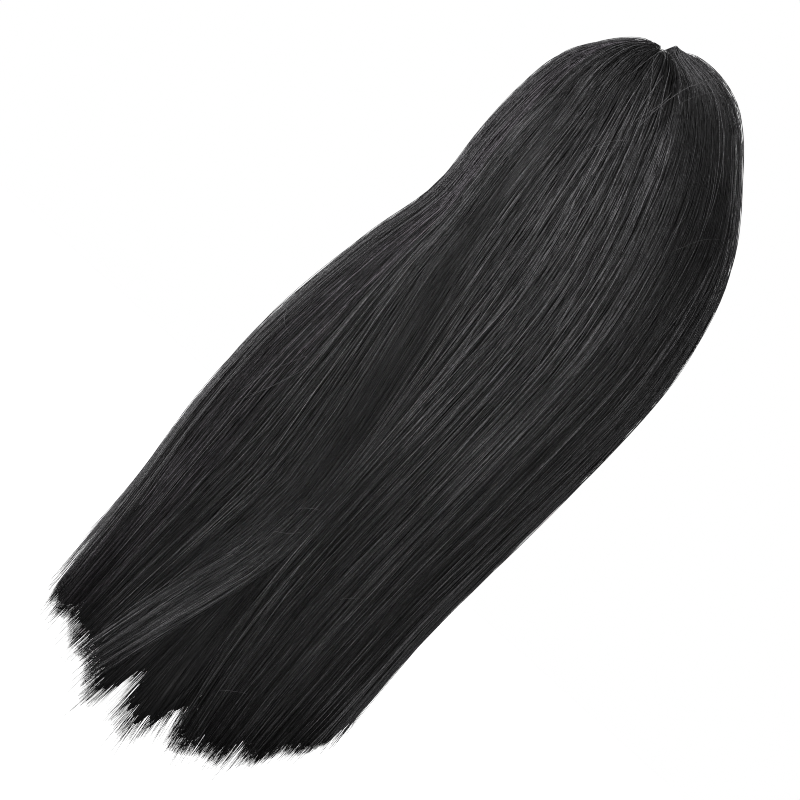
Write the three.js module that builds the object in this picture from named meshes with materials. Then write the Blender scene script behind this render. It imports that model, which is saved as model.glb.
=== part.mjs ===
// Long straight wig in its worn form, in millimetres, +Z up.
// The wearer faces -Y and the wearer's left is +X. The origin is the inside top of the cap,
// where the crown of a head sits. Hair leaves a parting left of the middle, sweeps over the cap
// and hangs straight to a ragged hem. It is open at the front for the face and below for the neck.

import * as THREE from 'three';

// Cap: a thin stretch shell on a rounded head form
const HEAD = { halfWidth: 76, halfDepth: 95, aboveWidest: 100, belowWidest: 130 };
const CAP_WALL = 1.5;
const CAP_COLUMNS = 40;
const CAP_ROWS = 8;

// Lower edge of the cap: turned from the front (degrees) and height there, the same on both sides
const CAP_RIM = [
  { turn: 0, height: -42 },
  { turn: 15, height: -44 },
  { turn: 30, height: -52 },
  { turn: 40, height: -67 },
  { turn: 50, height: -93 },
  { turn: 60, height: -120 },
  { turn: 70, height: -124 },
  { turn: 80, height: -113 },
  { turn: 95, height: -116 },
  { turn: 112, height: -146 },
  { turn: 135, height: -170 },
  { turn: 180, height: -182 },
];

// Parting: a straight line seen from above, from the front hairline back to the whorl
const PARTING = { x: 37, front: -70, back: 14 };
const PARTING_SHARE = { left: 0.36, right: 0.6 };
const ROOT_RADIUS = { outer: 3, inner: 1.5 };
const ROOT_HEIGHT = { front: 7, left: 18, whorl: 13.5, right: 21 };
const CAP_CLEARANCE = 1;

// Guide strands around the head, as shares of the way from the left front edge to the right one
const GUIDE_AT = { left: 0.22, back: 0.5, right: 0.78 };
const EDGE_ARC = THREE.MathUtils.degToRad(75);

// Strands over the back drift round on their way down: the shares where that starts, where the valley
// and the middle of the back have their own drift, and where it has ended
const DRIFT_AT = { starts: 0.28, valley: 0.4, back: 0.5, ends: 0.68 };

// One row for each level that the hair passes, with the place of each guide strand there.
// depth is the hair's thickness where it hangs free, seat is 1 where it lies on the cap,
// groove is how far the sides of a lock drop below its middle, drift is how far the strands of the valley
// and of the back have moved round as a share, and steps is the mesh rows above the level.
const LEVELS = [
  {
    name: 'crown',
    leftEdge: [46, -70, -46], left: [50, -12, 1], back: [33, 36, 2],
    right: [14, -8, 16], rightEdge: [22, -74.5, -36],
    depth: 12, seat: 1, groove: 0.4, drift: { valley: -0.03, back: -0.03 }, steps: 2,
  },
  {
    name: 'upper_dome',
    leftEdge: [57, -68, -60], left: [71.5, -5, -20], back: [20, 66, -8],
    right: [-26, 0, 8.5], rightEdge: [-6, -81, -38],
    depth: 12, seat: 1, groove: 0.8, drift: { valley: -0.045, back: -0.036 }, steps: 3,
  },
  {
    name: 'temple',
    leftEdge: [67, -62, -78], left: [87, 0, -45], back: [6, 91, -36],
    right: [-67, 4, -32], rightEdge: [-40, -75, -50],
    depth: 12, seat: 1, groove: 1.2, drift: { valley: -0.042, back: -0.031 }, steps: 3,
  },
  {
    name: 'ear',
    leftEdge: [75, -56, -102], left: [93, 4, -74], back: [0, 106, -76],
    right: [-97, 6, -75], rightEdge: [-67, -63, -81],
    depth: 12, seat: 1, groove: 1.6, drift: { valley: -0.031, back: -0.014 }, steps: 3,
  },
  {
    name: 'jaw',
    leftEdge: [77, -55, -132], left: [94.8, 5, -118], back: [-4, 110, -122],
    right: [-113, 8, -118], rightEdge: [-82, -58, -122],
    depth: 18, seat: 0.5, groove: 2, drift: { valley: -0.029, back: 0.002 }, steps: 3,
  },
  {
    name: 'nape',
    leftEdge: [74, -60, -175], left: [92.5, 6, -175], back: [-8, 107, -175],
    right: [-123, 9, -175], rightEdge: [-84, -64, -175],
    depth: 17, seat: 0, groove: 2.4, drift: { valley: -0.024, back: 0.011 }, steps: 3,
  },
  {
    name: 'shoulder',
    leftEdge: [71, -70, -230], left: [105, 6, -230], back: [-6, 102, -230],
    right: [-124, 8, -230], rightEdge: [-80, -72, -230],
    depth: 20, seat: 0, groove: 2.8, drift: { valley: 0.004, back: 0.021 }, steps: 2,
  },
  {
    name: 'chest',
    leftEdge: [72, -76, -320], left: [118, 6, -320], back: [-2, 96, -320],
    right: [-119.5, 6, -320], rightEdge: [-76, -78, -320],
    depth: 21, seat: 0, groove: 3.2, drift: { valley: 0.046, back: 0.026 }, steps: 2,
  },
  {
    name: 'middle',
    leftEdge: [74, -74, -400], left: [117.5, 6, -400], back: [0, 91, -400],
    right: [-115, 6, -400], rightEdge: [-75, -76, -400],
    depth: 20, seat: 0, groove: 3.2, drift: { valley: 0.06, back: 0.028 }, steps: 2,
  },
  {
    name: 'low',
    leftEdge: [72, -70, -480], left: [110, 6, -480], back: [0, 87, -480],
    right: [-115, 6, -480], rightEdge: [-75, -72, -480],
    depth: 16, seat: 0, groove: 2.8, drift: { valley: 0.04, back: 0.026 }, steps: 2,
  },
  {
    name: 'hem',
    leftEdge: [70, -64, -560], left: [104, 6, -560], back: [2, 82, -560],
    right: [-114, 6, -560], rightEdge: [-75, -66, -560],
    depth: 5, seat: 0, groove: 1, drift: { valley: 0.015, back: 0.02 }, steps: 3,
  },
];

// Height of the hair's ends: share of the way round and height
const HEM = [
  { at: 0, height: -552 },
  { at: 0.22, height: -564 },
  { at: 0.3, height: -573 },
  { at: 0.39, height: -584 },
  { at: 0.44, height: -604 },
  { at: 0.5, height: -599 },
  { at: 0.54, height: -588 },
  { at: 0.62, height: -572 },
  { at: 0.67, height: -549 },
  { at: 0.75, height: -519 },
  { at: 1, height: -512 },
];

// Locks: names in order from the left front edge round the back, with the share where each ends
// and how many times the level's groove is cut there
const LOCKS = [
  { name: 'hair_left_1', ends: 0.075, furrow: 1 },
  { name: 'hair_left_2', ends: 0.15, furrow: 1 },
  { name: 'hair_left_3', ends: 0.225, furrow: 1.4 },
  { name: 'hair_left_4', ends: 0.29, furrow: 1 },
  { name: 'hair_back_1', ends: 0.345, furrow: 1 },
  { name: 'hair_back_2', ends: 0.4, furrow: 2.2 },
  { name: 'hair_back_3', ends: 0.45, furrow: 1 },
  { name: 'hair_back_4', ends: 0.499, furrow: 1 },
  { name: 'hair_back_5', ends: 0.555, furrow: 1 },
  { name: 'hair_back_6', ends: 0.611, furrow: 1.5 },
  { name: 'hair_back_7', ends: 0.68, furrow: 1 },
  { name: 'hair_right_4', ends: 0.76, furrow: 1 },
  { name: 'hair_right_3', ends: 0.84, furrow: 1 },
  { name: 'hair_right_2', ends: 0.92, furrow: 1 },
  { name: 'hair_right_1', ends: 1, furrow: 1 },
];
const LOCK_COLUMNS = 3;
const LOCK_GAP = 0.25;
const TIP_GAP = 4;
const TIP_SHARPNESS = 4;
const TIP_ROUNDING = 20;

// Colours, as red, green and blue
const CAP_COLOUR = 0x17161a;
const HAIR_COLOUR = 0x1b1a1c;

const HEAD_CENTRE = new THREE.Vector3(0, 0, -HEAD.aboveWidest);
const HEM_LEVEL = LEVELS.length - 1;
const { lerp, smoothstep, degToRad } = THREE.MathUtils;

// Value of a column at a key, on straight lines between the table's rows
function lookUp(table, keyColumn, valueColumn, key) {
  const next = table.findIndex((row) => row[keyColumn] >= key);
  if (next <= 0) {
    return table.at(next)[valueColumn];
  }
  const before = table[next - 1];
  const after = table[next];
  const share = (key - before[keyColumn]) / (after[keyColumn] - before[keyColumn]);
  return lerp(before[valueColumn], after[valueColumn], share);
}

// Half sizes of the head form grown outwards, above or below its widest level
function headSizes(grow, above) {
  const up = above ? HEAD.aboveWidest : HEAD.belowWidest;
  return new THREE.Vector3(HEAD.halfWidth + grow, HEAD.halfDepth + grow, up + grow);
}

// Point on the grown head form, straight out from the head's centre through a point
function ontoHead(point, grow) {
  const out = point.clone().sub(HEAD_CENTRE);
  const reach = out.clone().divide(headSizes(grow, out.z > 0)).length();
  return out.divideScalar(reach).add(HEAD_CENTRE);
}

// The point itself, or the nearest way out of the grown head form if it is inside
function outsideHead(point, grow) {
  const out = point.clone().sub(HEAD_CENTRE);
  const inside = out.divide(headSizes(grow, out.z > 0)).length() < 1;
  return inside ? ontoHead(point, grow) : point;
}

// Height of the cap's outside above a place seen from above
function capHeight(x, y) {
  const sizes = headSizes(CAP_WALL, true);
  const level = 1 - (x / sizes.x) ** 2 - (y / sizes.y) ** 2;
  return HEAD_CENTRE.z + sizes.z * Math.sqrt(level);
}

// Closed mesh between an outer and an inner grid of points, open or joined round its columns
function closedSkin(outer, inner, joined) {
  const places = [];
  const numbers = new Map();
  const triangles = [];
  const vertex = (point) => {
    const key = point.toArray().map((value) => value.toFixed(4)).join();
    if (!numbers.has(key)) {
      numbers.set(key, places.length / 3);
      places.push(point.x, point.y, point.z);
    }
    return numbers.get(key);
  };
  const triangle = (a, b, c) => {
    if (a !== b && b !== c && c !== a) {
      triangles.push(a, b, c);
    }
  };
  const quad = (a, b, c, d) => {
    const corners = [a, b, c, d].map(vertex);
    triangle(corners[0], corners[1], corners[2]);
    triangle(corners[0], corners[2], corners[3]);
  };
  const last = outer.length - 1;
  const columns = outer[0].length;
  const spans = joined ? columns : columns - 1;
  for (let c = 0; c < spans; c += 1) {
    const d = (c + 1) % columns;
    for (let r = 0; r < last; r += 1) {
      quad(outer[r][c], outer[r + 1][c], outer[r + 1][d], outer[r][d]);
      quad(inner[r][d], inner[r + 1][d], inner[r + 1][c], inner[r][c]);
    }
    quad(outer[0][d], inner[0][d], inner[0][c], outer[0][c]);
    quad(outer[last][c], inner[last][c], inner[last][d], outer[last][d]);
  }
  for (let r = 0; r < last && !joined; r += 1) {
    quad(outer[r][0], inner[r][0], inner[r + 1][0], outer[r + 1][0]);
    quad(outer[r][spans], outer[r + 1][spans], inner[r + 1][spans], inner[r][spans]);
  }
  const geometry = new THREE.BufferGeometry();
  geometry.setAttribute('position', new THREE.Float32BufferAttribute(places, 3));
  geometry.setIndex(triangles);
  geometry.computeVertexNormals();
  return geometry;
}

// Cap: rows from the crown down to the rim, on the head form grown by the wall or not at all
function capGrid(grow) {
  const grid = [];
  for (let r = 0; r <= CAP_ROWS; r += 1) {
    const row = [];
    for (let c = 0; c < CAP_COLUMNS; c += 1) {
      const turn = (360 * c) / CAP_COLUMNS;
      const rim = lookUp(CAP_RIM, 'turn', 'height', Math.min(turn, 360 - turn)) - HEAD_CENTRE.z;
      const rimTilt = Math.asin(rim / (rim > 0 ? HEAD.aboveWidest : HEAD.belowWidest));
      const tilt = lerp(Math.PI / 2, rimTilt, r / CAP_ROWS);
      const level = new THREE.Vector3(
        Math.sin(degToRad(turn)) * Math.cos(tilt),
        -Math.cos(degToRad(turn)) * Math.cos(tilt),
        Math.sin(tilt),
      );
      row.push(level.multiply(headSizes(grow, tilt > 0)).add(HEAD_CENTRE));
    }
    grid.push(row);
  }
  return grid;
}

// Place beside the parting where the strand at a share of the way round has its root
function besideParting(share, radius) {
  const { left, right } = PARTING_SHARE;
  const along = share < left ? share / left : (1 - share) / (1 - right);
  const turn = Math.PI * THREE.MathUtils.clamp((share - left) / (right - left), 0, 1);
  const x = PARTING.x + radius * Math.cos(turn);
  const y = lerp(PARTING.front, PARTING.back, Math.min(along, 1)) + radius * Math.sin(turn);
  return { x, y, turn, along: Math.min(along, 1) };
}

// Root of a strand, which stands off the cap, lower at the front and at the end of the parting
function rootPoint(share, radius) {
  const { x, y, turn, along } = besideParting(share, radius);
  const side = lerp(ROOT_HEIGHT.left, ROOT_HEIGHT.right, turn / Math.PI);
  const back = lerp(side, ROOT_HEIGHT.whorl, Math.sin(turn));
  return new THREE.Vector3(x, y, capHeight(x, y) + lerp(ROOT_HEIGHT.front, back, along));
}

// Quarter of an oval from a side guide to the back guide
function backArc(side, back, share) {
  const turn = (share * Math.PI) / 2;
  return new THREE.Vector3(
    lerp(back[0], side[0], Math.cos(turn)),
    lerp(side[1], back[1], Math.sin(turn)),
    lerp(side[2], back[2], Math.sin(turn) ** 2),
  );
}

// Shorter arc from a side guide forwards to the front edge
function frontArc(side, edge, share) {
  const forward = Math.sin(share * EDGE_ARC) / Math.sin(EDGE_ARC);
  const inward = (1 - Math.cos(share * EDGE_ARC)) / (1 - Math.cos(EDGE_ARC));
  return new THREE.Vector3(
    lerp(side[0], edge[0], inward),
    lerp(side[1], edge[1], forward),
    lerp(side[2], edge[2], forward ** 2),
  );
}

// Place at a level, at a share of the way round from the left front edge
function levelPoint(level, share) {
  const { left, back, right } = GUIDE_AT;
  if (share < left) {
    return frontArc(level.left, level.leftEdge, (left - share) / left);
  }
  if (share < back) {
    return backArc(level.left, level.back, (share - left) / (back - left));
  }
  if (share < right) {
    return backArc(level.right, level.back, (right - share) / (right - back));
  }
  return frontArc(level.right, level.rightEdge, (share - right) / (1 - right));
}

// Share of the way round that a strand has come to at a level
function swayed(level, share) {
  const { starts, valley, back, ends } = DRIFT_AT;
  const left = level.drift.valley * smoothstep(share, starts, valley);
  const middle = lerp(left, level.drift.back, smoothstep(share, valley, back));
  return share + lerp(middle, 0, smoothstep(share, back, ends));
}

// Strand at a share of the way round: a smooth curve from its root through every level to the hem
function strand(share, tipRise) {
  const points = LEVELS.map((level) => levelPoint(level, swayed(level, share)));
  points[HEM_LEVEL].z = lookUp(HEM, 'at', 'height', swayed(LEVELS[HEM_LEVEL], share)) + tipRise;
  return new THREE.CatmullRomCurve3([rootPoint(share, ROOT_RADIUS.outer), ...points]);
}

// Mesh rows down a strand: the level reached, counted from 0 at the root, with steps between levels
function strandRows() {
  const rows = [0];
  LEVELS.forEach((level, before) => {
    for (let step = 1; step <= level.steps; step += 1) {
      rows.push(before + step / level.steps);
    }
  });
  return rows;
}

// Value of a level column between levels, with the first level's value above it
function columnAt(row, column) {
  const before = Math.max(Math.ceil(row) - 2, 0);
  const after = Math.max(Math.ceil(row) - 1, 0);
  return lerp(LEVELS[before][column], LEVELS[after][column], row - Math.ceil(row) + 1);
}

// Point of the hair's outer surface and its outward direction
function surfaceAt(share, row, tipRise) {
  const reach = row / LEVELS.length;
  const nudge = 0.002;
  const here = strand(share, tipRise);
  const point = here.getPoint(reach);
  const down = here.getTangent(reach);
  const before = strand(Math.max(share - nudge, 0), tipRise).getPoint(reach);
  const after = strand(Math.min(share + nudge, 1), tipRise).getPoint(reach);
  const out = down.cross(after.sub(before)).normalize();
  return { point, out };
}

// One lock: a slab that lies on the cap and then hangs, its sides grooved, its end a rounded tuft
function lockGeometry(starts, ends, furrows) {
  const outer = [];
  const inner = [];
  for (const row of strandRows()) {
    const tipShare = smoothstep(row, HEM_LEVEL, HEM_LEVEL + 1);
    const width = surfaceAt(starts, row, 0).point.distanceTo(surfaceAt(ends, row, 0).point);
    const inset = (lerp(LOCK_GAP, TIP_GAP, tipShare ** TIP_SHARPNESS) / width) * (ends - starts);
    const outerRow = [];
    const innerRow = [];
    for (let c = 0; c <= LOCK_COLUMNS; c += 1) {
      const across = c / LOCK_COLUMNS;
      const fromMiddle = (2 * across - 1) ** 2;
      const share = lerp(starts + inset, ends - inset, across);
      const { point, out } = surfaceAt(share, row, TIP_ROUNDING * fromMiddle);
      const above = row === 0 ? rootPoint(share, ROOT_RADIUS.inner) : point;
      const seated = ontoHead(above, CAP_WALL + CAP_CLEARANCE);
      const hanging = point.clone().addScaledVector(out, -columnAt(row, 'depth'));
      const under = hanging.lerp(seated, columnAt(row, 'seat'));
      innerRow.push(outsideHead(under, CAP_WALL + CAP_CLEARANCE));
      const groove = columnAt(row, 'groove') * furrows[across < 0.5 ? 0 : 1] * fromMiddle;
      outerRow.push(point.addScaledVector(out, -groove));
    }
    outer.push(outerRow);
    inner.push(innerRow);
  }
  return closedSkin(outer, inner, false);
}

function capMesh() {
  const material = new THREE.MeshStandardMaterial({ color: CAP_COLOUR, roughness: 0.9, metalness: 0 });
  const mesh = new THREE.Mesh(closedSkin(capGrid(CAP_WALL), capGrid(0), true), material);
  mesh.name = 'cap';
  return mesh;
}

function lockMeshes() {
  let starts = 0;
  let firstFurrow = 1;
  return LOCKS.map(({ name, ends, furrow }) => {
    const material = new THREE.MeshStandardMaterial({ color: HAIR_COLOUR, roughness: 0.45, metalness: 0 });
    const geometry = lockGeometry(starts, ends, [firstFurrow, furrow]);
    const mesh = new THREE.Mesh(geometry, material);
    mesh.name = name;
    starts = ends;
    firstFurrow = furrow;
    return mesh;
  });
}

const wig = new THREE.Group();
wig.add(capMesh(), ...lockMeshes());

export default wig;
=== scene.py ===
import math

import bpy
import numpy as np
from mathutils import Matrix, Vector


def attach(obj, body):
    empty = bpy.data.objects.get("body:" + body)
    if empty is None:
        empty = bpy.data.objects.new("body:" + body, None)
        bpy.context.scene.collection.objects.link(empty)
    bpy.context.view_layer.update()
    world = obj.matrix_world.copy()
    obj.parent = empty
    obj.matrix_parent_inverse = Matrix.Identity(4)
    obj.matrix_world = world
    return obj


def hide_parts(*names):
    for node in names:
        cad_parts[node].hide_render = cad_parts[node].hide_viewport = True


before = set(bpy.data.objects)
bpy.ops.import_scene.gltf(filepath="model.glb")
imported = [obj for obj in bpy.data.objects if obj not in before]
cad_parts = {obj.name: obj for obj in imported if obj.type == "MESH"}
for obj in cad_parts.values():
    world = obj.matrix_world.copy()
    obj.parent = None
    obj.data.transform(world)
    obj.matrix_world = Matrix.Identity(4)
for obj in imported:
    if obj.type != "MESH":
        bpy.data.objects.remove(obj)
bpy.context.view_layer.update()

# A long straight wig. A place in its hair has three numbers: the share of the way round, from 0 at the
# left front edge to 1 at the right one, the level, from 0 at the roots to 11 at the hem, and the depth,
# from 0 at the outer face to 1 at the inner. Sizes are in millimetres until a mesh is made.

MM = 0.001
SEED = 4107

# Head form under the cap, as half sizes from its widest level
HEAD_CENTRE = np.array([0.0, 0.0, -100.0])
HEAD_ABOVE = np.array([76.0, 95.0, 100.0])
HEAD_BELOW = np.array([76.0, 95.0, 130.0])
CAP_WALL = 1.5
CAP_CLEARANCE = 1.0

# Lower edge of the cap: turned from the front in degrees, and height there, the same on both sides
RIM_TURN = (0, 15, 30, 40, 50, 60, 70, 80, 95, 112, 135, 180)
RIM_HEIGHT = (-42, -44, -52, -67, -93, -120, -124, -113, -116, -146, -170, -182)
RIM_SMOOTHINGS = 12
CAP_COLUMNS, CAP_ROWS = 120, 32
CAP_HEM_ROWS, CAP_HEM_THICKNESS = 3, 0.5
# Discs of the cap's outer and inner face on the map: radius, and where across their middles lie
CAP_MAP_RADIUS, CAP_MAP_OUTER, CAP_MAP_INNER = 0.22, 0.25, 0.75

# Parting: a straight line seen from above, from the front hairline back to the whorl
PARTING_X, PARTING_FRONT, PARTING_BACK = 37.0, -70.0, 14.0
# Shares between which the roots turn round the whorl
PARTING_LEFT, PARTING_RIGHT = 0.36, 0.60
# How far from the parting the roots lie at the outer and inner face, and how high they stand off the cap
ROOT_OUTER, ROOT_INNER = 3.0, 1.5
ROOT_FRONT, ROOT_LEFT, ROOT_WHORL, ROOT_RIGHT = 7.0, 18.0, 13.5, 21.0
# Groove of the parting: how far from its middle, and at which parts of the roots' height, strands and both
# faces of the bodies of hair start
GROOVE_RADIUS, GROOVE_HEIGHT = 0.4, 0.66
MASS_GROOVE_OUTER, MASS_GROOVE_INNER = 0.56, 0.15

# Guide strands, from the left front edge round the back to the right front edge, and where each passes
# the levels crown, upper dome, temple, ear, jaw, nape, shoulder, chest, middle, low and hem
GUIDE_LEFT, GUIDE_BACK, GUIDE_RIGHT = 0.22, 0.50, 0.78
EDGE_ARC = math.radians(75)
LEFT_EDGE = np.array([
    [46, -70, -46], [57, -68, -60], [67, -62, -78], [75, -56, -102], [77, -55, -132], [74, -60, -175],
    [71, -70, -230], [72, -76, -320], [74, -74, -400], [72, -70, -480], [70, -64, -560]], float)
LEFT = np.array([
    [50, -12, 1], [71.5, -5, -20], [87, 0, -45], [93, 4, -74], [94.8, 5, -118], [92.5, 6, -175],
    [105, 6, -230], [118, 6, -320], [117.5, 6, -400], [110, 6, -480], [104, 6, -560]], float)
BACK = np.array([
    [33, 36, 2], [20, 66, -8], [6, 91, -36], [0, 106, -76], [-4, 110, -122], [-8, 107, -175],
    [-6, 102, -230], [-2, 96, -320], [0, 91, -400], [0, 87, -480], [2, 82, -560]], float)
RIGHT = np.array([
    [14, -8, 16], [-26, 0, 8.5], [-67, 4, -32], [-97, 6, -75], [-113, 8, -118], [-123, 9, -175],
    [-124, 8, -230], [-119.5, 6, -320], [-115, 6, -400], [-115, 6, -480], [-114, 6, -560]], float)
RIGHT_EDGE = np.array([
    [22, -74.5, -36], [-6, -81, -38], [-40, -75, -50], [-67, -63, -81], [-82, -58, -122], [-84, -64, -175],
    [-80, -72, -230], [-76, -78, -320], [-75, -76, -400], [-75, -72, -480], [-75, -66, -560]], float)
LAST_LEVEL = 11
# Thickness of the hair at each level, and how far its inner face follows the cap there
DEPTH = np.array([12, 12, 12, 12, 12, 18, 17, 20, 21, 20, 16, 5], float)
SEAT = np.array([1, 1, 1, 1, 1, 0.5, 0, 0, 0, 0, 0, 0], float)
# How far round strands have moved at each level, for the strand at the valley and the one at the back
VALLEY_DRIFT = np.array([-0.03, -0.045, -0.042, -0.031, -0.029, -0.024, 0.004, 0.046, 0.06, 0.04, 0.015])
BACK_DRIFT = np.array([-0.03, -0.036, -0.031, -0.014, 0.002, 0.011, 0.021, 0.026, 0.028, 0.026, 0.02])
# Shares where this starts, of both strands, and where it ends
DRIFT_STARTS, VALLEY, DRIFT_BACK, DRIFT_ENDS = 0.28, 0.40, 0.50, 0.68
# Height of the hem at shares of the way round
HEM_AT = [0, 0.22, 0.3, 0.39, 0.44, 0.5, 0.54, 0.62, 0.67, 0.75, 1]
HEM_HEIGHT = [-552, -564, -573, -584, -604, -599, -588, -572, -549, -519, -512]
# The way round the hair, and the length of a level near the hem
GIRTH = 560.0
LEVEL_LENGTH = 95.0

# Grid of the field, which runs on a little below the hem
FIELD_ACROSS = 1201
FIELD_STEP = 0.1
BELOW_HEM = 0.6
FIELD_LEVELS = np.arange(0, LAST_LEVEL + BELOW_HEM + FIELD_STEP / 2, FIELD_STEP)
# Soft waves of the surface: height, and cells across and along
WAVES = ((0.6, 20, 5), (0.15, 48, 7))
# Part of the waves' height left at the crown and lost at the hem, and the levels over which this changes
WAVES_AT_CROWN, WAVES_LOST = 0.25, 0.48
WAVES_RISE, WAVES_FALL = (1, 6), (10, 11)
# Valley: depth, half the width as a share, and the levels over which it comes and goes
VALLEY_DEPTH, VALLEY_HALF = 5.0, 0.016
VALLEY_COMES, VALLEY_GOES = (2.5, 5.0), (7.0, 9.5)
# Ridge of the hair right of the parting: height, shares over which it rises, level and half its width
RIDGE_HEIGHT, RIDGE_RISES, RIDGE_LEVEL, RIDGE_HALF = 0.9, (0.54, 0.62), 0.2, 0.35

# Locks: the share of the way round where each ends
LOCKS = [
    ("hair_left_1", 0.075), ("hair_left_2", 0.15), ("hair_left_3", 0.225), ("hair_left_4", 0.29),
    ("hair_back_1", 0.345), ("hair_back_2", 0.40), ("hair_back_3", 0.45), ("hair_back_4", 0.499),
    ("hair_back_5", 0.555), ("hair_back_6", 0.611), ("hair_back_7", 0.68), ("hair_right_4", 0.76),
    ("hair_right_3", 0.84), ("hair_right_2", 0.92), ("hair_right_1", 1.0)]
# Locks that end before this share have a tinge of plum
PLUM_ENDS = 0.36

# Strands round the whole wig, and those that cover each front edge, which has this share
LONG_STRANDS, SHORT_STRANDS, FRONT_STRANDS = 5500, 4500, 170
FRONT_EDGE = 0.004
STRAND_SIDES = 3
# Places along a long strand, closer together over the crown, and along a short one at the hem
LONG_STEPS = np.concatenate([[0, 0.06], np.linspace(0.46, 4.6, 10), np.linspace(5.3, 11, 9)]) / LAST_LEVEL
SHORT_STEPS = np.array([0, 0.3, 0.55, 0.75, 0.9, 1.0])
LONG_RADIUS, SHORT_RADIUS = (0.17, 0.29), (0.22, 0.36)
# Part of the radius at the roots, part lost at the tip, where strands thicken and where tips narrow
ROOT_THIN, TIP_THIN, THICKEN = 0.55, 0.8, (0.0, 3.2)
LONG_TIP, SHORT_TIP = (0.9, 1.0), (0.8, 1.0)
# Part of the strands in the outer layer, part in all layers but the inner one, and where these layers end
OUTER_PART, INNER_PART = 0.66, 0.84
OUTER_DEPTH, INNER_DEPTH = 0.15, 0.9
# Strides that spread strands evenly over the layers and the tones, and how much chance adds
LAYER_STRIDE, TONE_STRIDE, STRIDE_CHANCE = 0.5698403, 0.7548777, 0.1
# Part of the strands that start at the roots, round the whorl and beside the rest of the parting
WHORL_ROOTS, PARTING_ROOTS = 0.2, 0.45
# Levels where those strands, the other long ones and the short ones start
ROOT_STARTS, LOWER_STARTS, SHORT_STARTS = (0.0, 0.3), (0.2, 3.4), (8.9, 10.0)
# Strands that start lower rise from this depth, over some of a level
RISE_DEPTH, RISE_LEVELS = 0.75, 0.22

# Small bunches that strands lean towards on their way down
BUNCHES = 130
GATHER_LEVELS = (4, 11.5)
# Waves of a strand: how far it wanders, sways with its bunch, dips and changes its tone, and their paces
WANDER, SWAY, DIP, FLICKER = (0.4, 2.4), 0.6, 0.03, 0.2
STRAND_PACE, SWAY_PACE, DIP_PACE, FLICKER_PACE = (0.8, 2.0), 0.9, 2.2, 3.1
# Levels over which bunches come to sway and to lie higher or lower, and the part of this at the crown
SWAY_LEVELS, LIFT_LEVELS, CROWN_LIFT = (3, 8), (3, 7), 0.35
# The highest that strands stand out of the hair, as a depth
HIGHEST = -0.06

# Gaps in the hem, and longer tips where the depth is below 0: share, depth and half the width as a share
HEM_GAPS = [
    (0.262, -10, 0.015), (0.29, 12, 0.012), (0.45, 30, 0.012), (0.498, -6, 0.020), (0.514, 20, 0.016),
    (0.522, 36, 0.008), (0.611, 26, 0.010), (0.622, 18, 0.022), (0.672, 14, 0.016)]
# Corners of the hem, where it frays: share and half the width
HEM_CORNERS = [(0.26, 0.05), (0.73, 0.06)]
HEM_WAVES = 34
# Part of the strands that the gaps cut, how far tips differ, and the part of the tips that hang lower
CUT_PART, CUT_SPREAD, TIP_SPREAD = 0.85, (0.5, 1.1), 5.5
LOW_TIPS, FRAYED_LOW_TIPS, LOW_TIP_LENGTH = 0.05, 0.07, (3, 14)
# The lock that crosses the others near the hem: its shares and depth, how far they move round, over which
# levels, how far off the rest, and how much lighter it gets over which levels
CROSSING, CROSSING_DEPTH = (0.405, 0.475), 0.09
CROSSING_MOVE, CROSSING_LEVELS, CROSSING_RISE = (-0.03, -0.065), (9.2, 11.2), 0.25
CROSSING_SHEEN, SHEEN_LEVELS = 0.2, (9.0, 10.6)
# The hair right of it leans to the right there, and the deepest strands half as far
LEAN_AT = (0.425, 0.475, 0.51, 0.56, 0.62, 0.68)
LEAN_MOVE = (0.0, 0.045, 0.042, 0.030, 0.013, 0.0)
LEAN_LEVEL, DEEP_LEAN = 9.3, 0.5

# Body of a lock under its strands: columns, and close and wide rows as parts of its length and a number
MASS_COLUMNS, MASS_CLOSE, MASS_WIDE = 26, (0, 0.47, 24), (0.5, 1, 20)
# Its gap to the next lock, first level, depths of both faces, and cells and height of the ridges
MASS_GAP, MASS_START, MASS_OUTER, MASS_INNER = 0.0004, 0.05, 0.2, 0.9
MASS_CELLS, MASS_RIDGES = (13, 5), 0.5
# How far it ends above the hem, how much more at random and at frayed corners, and its part of a gap
MASS_SHORT, MASS_UNEVEN, MASS_FRAY, MASS_CUT = 12, 12, 6, 0.7

# Loose hairs seen on the back: x and z of the start and end, and how far they bow sideways
LOOSE_HAIRS = [
    (14, -51, -5, 15, 5), (3, -19, -19, 11, 3), (71, -320, 94, -376, 2), (74, -322, 92, -368, 3),
    (78, -318, 97, -372, -2), (112, -304, 96, -316, -3), (-31, -528, -46, -518, 1), (12, -397, 0, -388, 1),
    (-50, -426, -63, -415, 1), (14, -420, 0, -408, -1), (30, -90, 12, -62, 3), (-60, -96, -78, -70, 3)]
# Loose hairs at random, across the others or along them: how many, where they start, and how far they
# turn, run and bow
ACROSS_HAIRS, ACROSS_STARTS, ACROSS_TURN, ACROSS_RUN, ACROSS_BOW = 90, (1.0, 8.5), 0.02, (0.6, 2.2), 2.5
ALONG_HAIRS, ALONG_STARTS, ALONG_TURN, ALONG_RUN, ALONG_BOW = 220, (0.6, 8.5), 0.003, (1.2, 3.0), 0.8
# Those along the others lie mostly at the left and right side: parts of them, shares and spread
LEFT_PART, RIGHT_PART = 0.5, 0.4
SIDE_LEFT, SIDE_RIGHT, SIDE_SPREAD = 0.25, 0.75, 0.03
# Wisps that stand off each side near the hem: how many, shares, spread, turn, and levels of both ends
WISPS, WISP_SHARES, WISP_SPREAD, WISP_TURN = 60, (0.24, 0.75), 0.025, 0.004
WISP_STARTS, WISP_ENDS = (8.4, 9.8), (10.4, 11.0)
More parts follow.
